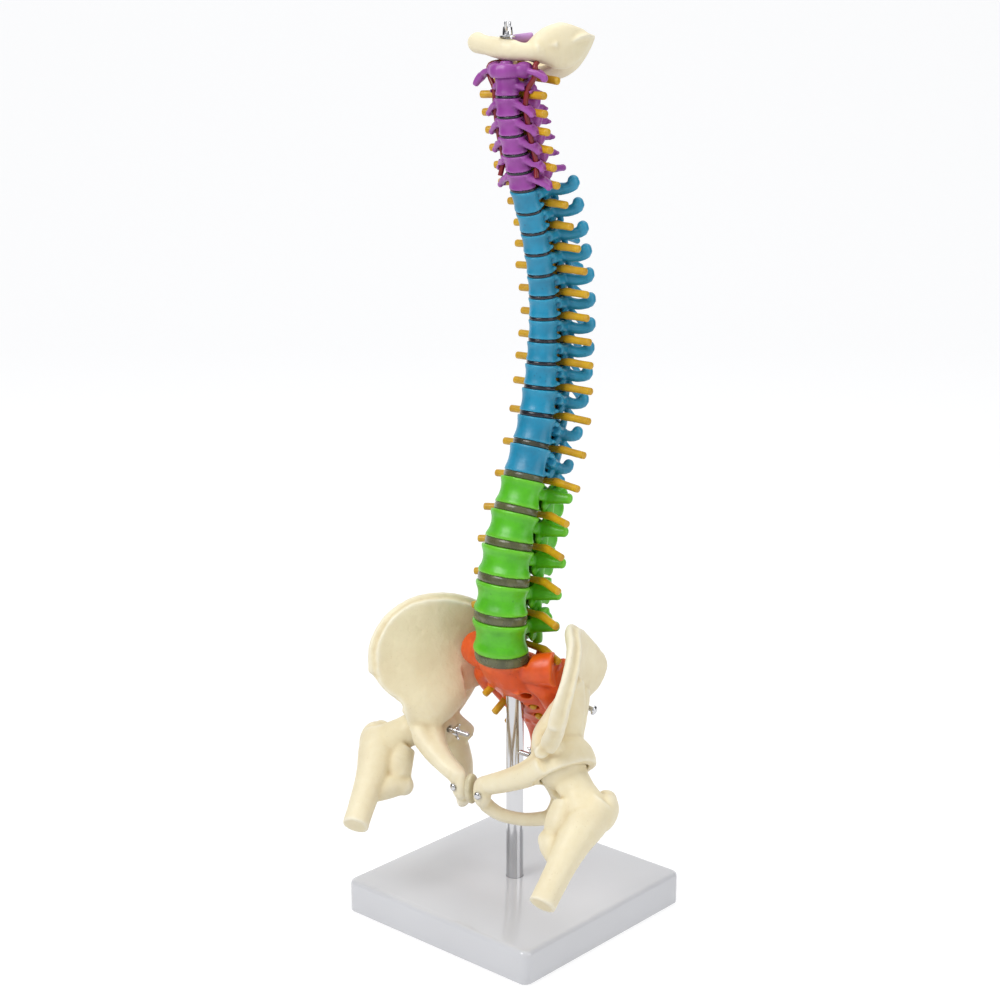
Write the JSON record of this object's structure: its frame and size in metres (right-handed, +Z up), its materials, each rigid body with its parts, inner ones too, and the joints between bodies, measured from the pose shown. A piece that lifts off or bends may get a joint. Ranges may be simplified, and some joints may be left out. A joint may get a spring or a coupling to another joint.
{
  "type": "anatomical spine model on a stand",
  "caption": "Half-size teaching model of a human vertebral column with coloured regions, pelvis, hinged femur stubs and nerve stubs, on a tube over a square base.",
  "frame": {"origin": "middle of the base plate's underside, on the axis of the support tube", "axes": "+Z up along the support tube, -Y the way the model faces, +X towards the model's own left side"},
  "size_m": [0.1532, 0.1407, 0.453],
  "materials": {
    "violet_plastic": "satin moulded PVC",
    "blue_plastic": "satin moulded PVC",
    "green_plastic": "satin moulded PVC",
    "orange_plastic": "satin moulded PVC",
    "bone_plastic": "matt bone-coloured PVC",
    "disc_plastic": "translucent soft plastic",
    "nerve_plastic": "soft yellow plastic",
    "artery_plastic": "soft dark red plastic",
    "stem_plastic": "satin moulded PVC",
    "pad_plastic": "translucent soft plastic",
    "chromed_steel": "polished chrome plate",
    "white_plastic": "high gloss"
  },
  "bodies": {
    "stand_and_spine": {"vertebra_C1": "violet_plastic", "vertebra_C2": "violet_plastic", "vertebra_C3": "violet_plastic", "vertebra_C4": "violet_plastic", "vertebra_C5": "violet_plastic", "vertebra_C6": "violet_plastic", "vertebra_C7": "violet_plastic", "vertebra_T1": "blue_plastic", "vertebra_T2": "blue_plastic", "vertebra_T3": "blue_plastic", "vertebra_T4": "blue_plastic", "vertebra_T5": "blue_plastic", "vertebra_T6": "blue_plastic", "vertebra_T7": "blue_plastic", "vertebra_T8": "blue_plastic", "vertebra_T9": "blue_plastic", "vertebra_T10": "blue_plastic", "vertebra_T11": "blue_plastic", "vertebra_T12": "blue_plastic", "vertebra_L1": "green_plastic", "vertebra_L2": "green_plastic", "vertebra_L3": "green_plastic", "vertebra_L4": "green_plastic", "vertebra_L5": "green_plastic", "disc_core": "disc_plastic", "spinal_cord_nerves": "nerve_plastic", "vertebral_artery_right": "artery_plastic", "vertebral_artery_left": "artery_plastic", "occipital_plate": "bone_plastic", "top_stud": "chromed_steel", "top_washer": "chromed_steel", "top_wing_nut": "chromed_steel", "brainstem_stub": "stem_plastic", "sacrum_coccyx": "orange_plastic", "hip_bone_right": "bone_plastic", "hip_bone_left": "bone_plastic", "sacroiliac_screw_right": "chromed_steel", "sacroiliac_screw_left": "chromed_steel", "pubic_screw_right": "chromed_steel", "pubic_screw_left": "chromed_steel", "pubic_pad": "pad_plastic", "base_plate": "white_plastic", "support_tube": "chromed_steel", "tube_screw": "chromed_steel", "tube_top_stud": "chromed_steel"},
    "right_leg": {"femur_right": "bone_plastic", "hip_bolt_right": "chromed_steel", "hip_wing_nut_right": "chromed_steel"},
    "left_leg": {"femur_left": "bone_plastic", "hip_bolt_left": "chromed_steel", "hip_wing_nut_left": "chromed_steel"}
  },
  "joints": [
    {"name": "right_hip_hinge", "type": "hinge", "parent": "stand_and_spine", "child": "right_leg", "pos_m": [-0.045, -0.0165, 0.0958], "axis": [1, 0, 0], "range_deg": [-10, 20]},
    {"name": "left_hip_hinge", "type": "hinge", "parent": "stand_and_spine", "child": "left_leg", "pos_m": [0.045, -0.0165, 0.0958], "axis": [1, 0, 0], "range_deg": [-10, 20]}
  ]
}
